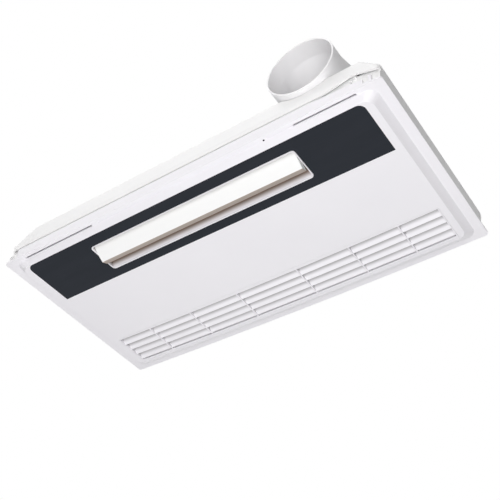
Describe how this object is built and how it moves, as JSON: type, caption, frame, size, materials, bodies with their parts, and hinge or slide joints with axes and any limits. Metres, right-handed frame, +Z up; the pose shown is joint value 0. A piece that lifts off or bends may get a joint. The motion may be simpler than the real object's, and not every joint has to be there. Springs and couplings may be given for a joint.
{
  "type": "ceiling ventilation fan",
  "caption": "Ceiling ventilation and warm-air unit: flat panel with dark strip, swinging louver, slatted return grille, framed casing and round side duct collar.",
  "frame": {"origin": "centre of the four hanging holes, at the underside of the hanging ears", "axes": "+Z up towards the ceiling slab, +X along the panel's length, the duct collar leaves towards -Y, the panel faces -Z"},
  "size_m": [0.6, 0.306, 0.172],
  "materials": {
    "panel_white": "moulded, satin gloss",
    "strip_dark": "high gloss, very dark blue grey",
    "louver_white": "fine satin",
    "receiver_dark": "smoked window",
    "frame_white": "moulded, satin",
    "duct_white": "moulded, matt",
    "inner_white": "moulded, matt",
    "mechanism": "acetal, natural",
    "galvanised": "galvanised sheet",
    "spring_steel": "spring steel",
    "zinc_screw": "zinc plated",
    "dark_screw": "blackened",
    "motor_can": "dark enamel",
    "small_motor": "plated can",
    "shaft_steel": "ground",
    "wheel_plastic": "glass filled, matt",
    "rubber_black": "matt",
    "heater_alu": "rolled fins",
    "ceramic": "heat proof moulding",
    "cutout_steel": "plated cap",
    "board_green": "lacquered board",
    "terminal_grey": "nylon",
    "capacitor_white": "moulded case"
  },
  "bodies": {
    "unit": {"face_panel": "panel_white", "accent_strip": "strip_dark", "signal_receiver": "receiver_dark", "panel_clips": "spring_steel", "outlet_bezel": "panel_white", "louver_motor": "small_motor", "return_grille": "panel_white", "duct_adapter": "duct_white", "adapter_screws": "zinc_screw", "mounting_frame": "frame_white", "frame_screws": "dark_screw", "base_plate": "galvanised", "outlet_duct": "inner_white", "casing_near_wall": "galvanised", "casing_far_wall": "galvanised", "casing_left_end": "galvanised", "casing_right_end": "galvanised", "casing_screws": "zinc_screw", "casing_lid": "galvanised", "lid_screws": "zinc_screw", "hanging_bracket_left": "galvanised", "hanging_bracket_right": "galvanised", "air_cover": "galvanised", "blower_scroll": "inner_white", "plenum_wall_left": "galvanised", "plenum_wall_right": "galvanised", "inlet_ring": "inner_white", "blower_motor": "motor_can", "motor_bushes": "rubber_black", "motor_screws": "zinc_screw", "damper_motor": "small_motor", "heater_frame": "galvanised", "heater_ends": "ceramic", "heater_core": "heater_alu", "thermal_cutout": "cutout_steel", "control_box": "galvanised", "control_box_cover": "galvanised", "control_board": "board_green", "terminal_block": "terminal_grey", "run_capacitor": "capacitor_white", "cable_inlet": "rubber_black"},
    "louver": {"louver_blade": "louver_white", "louver_pin": "mechanism", "louver_crank": "mechanism"},
    "motor_crank": {"motor_crank": "mechanism"},
    "drive_link": {"louver_link": "mechanism"},
    "blower_rotor": {"wheel_back_plate": "wheel_plastic", "wheel_blades": "wheel_plastic", "wheel_ring": "wheel_plastic", "motor_shaft": "shaft_steel", "wheel_nut": "zinc_screw"},
    "exhaust_damper": {"exhaust_damper": "inner_white"}
  },
  "joints": [
    {"name": "louver_swing", "type": "hinge", "parent": "unit", "child": "louver", "pos_m": [0, -0.1045, -0.10185], "axis": [1, 0, 0], "range_deg": [-35, 34.6]},
    {"name": "louver_motor_turn", "type": "hinge", "parent": "unit", "child": "motor_crank", "pos_m": [0.166, -0.1045, -0.08185], "axis": [1, 0, 0], "range_deg": [-35, 34.6]},
    {"name": "louver_link_pivot", "type": "hinge", "parent": "motor_crank", "child": "drive_link", "pos_m": [0.1647, -0.09584, -0.07685], "axis": [1, 0, 0], "range_deg": [-34.6, 35]},
    {"name": "blower_spin", "type": "hinge", "parent": "unit", "child": "blower_rotor", "pos_m": [-0.06, 0.048, 0], "axis": [0, 0, 1], "continuous": true},
    {"name": "exhaust_damper_swing", "type": "hinge", "parent": "unit", "child": "exhaust_damper", "pos_m": [0.126, -0.0355, 0], "axis": [0, 0, 1], "range_deg": [0, 85]}
  ],
  "couplings": [
    {"joint": "louver_motor_turn", "follows": "louver_swing", "ratio": 1},
    {"joint": "louver_link_pivot", "follows": "louver_swing", "ratio": -1}
  ]
}
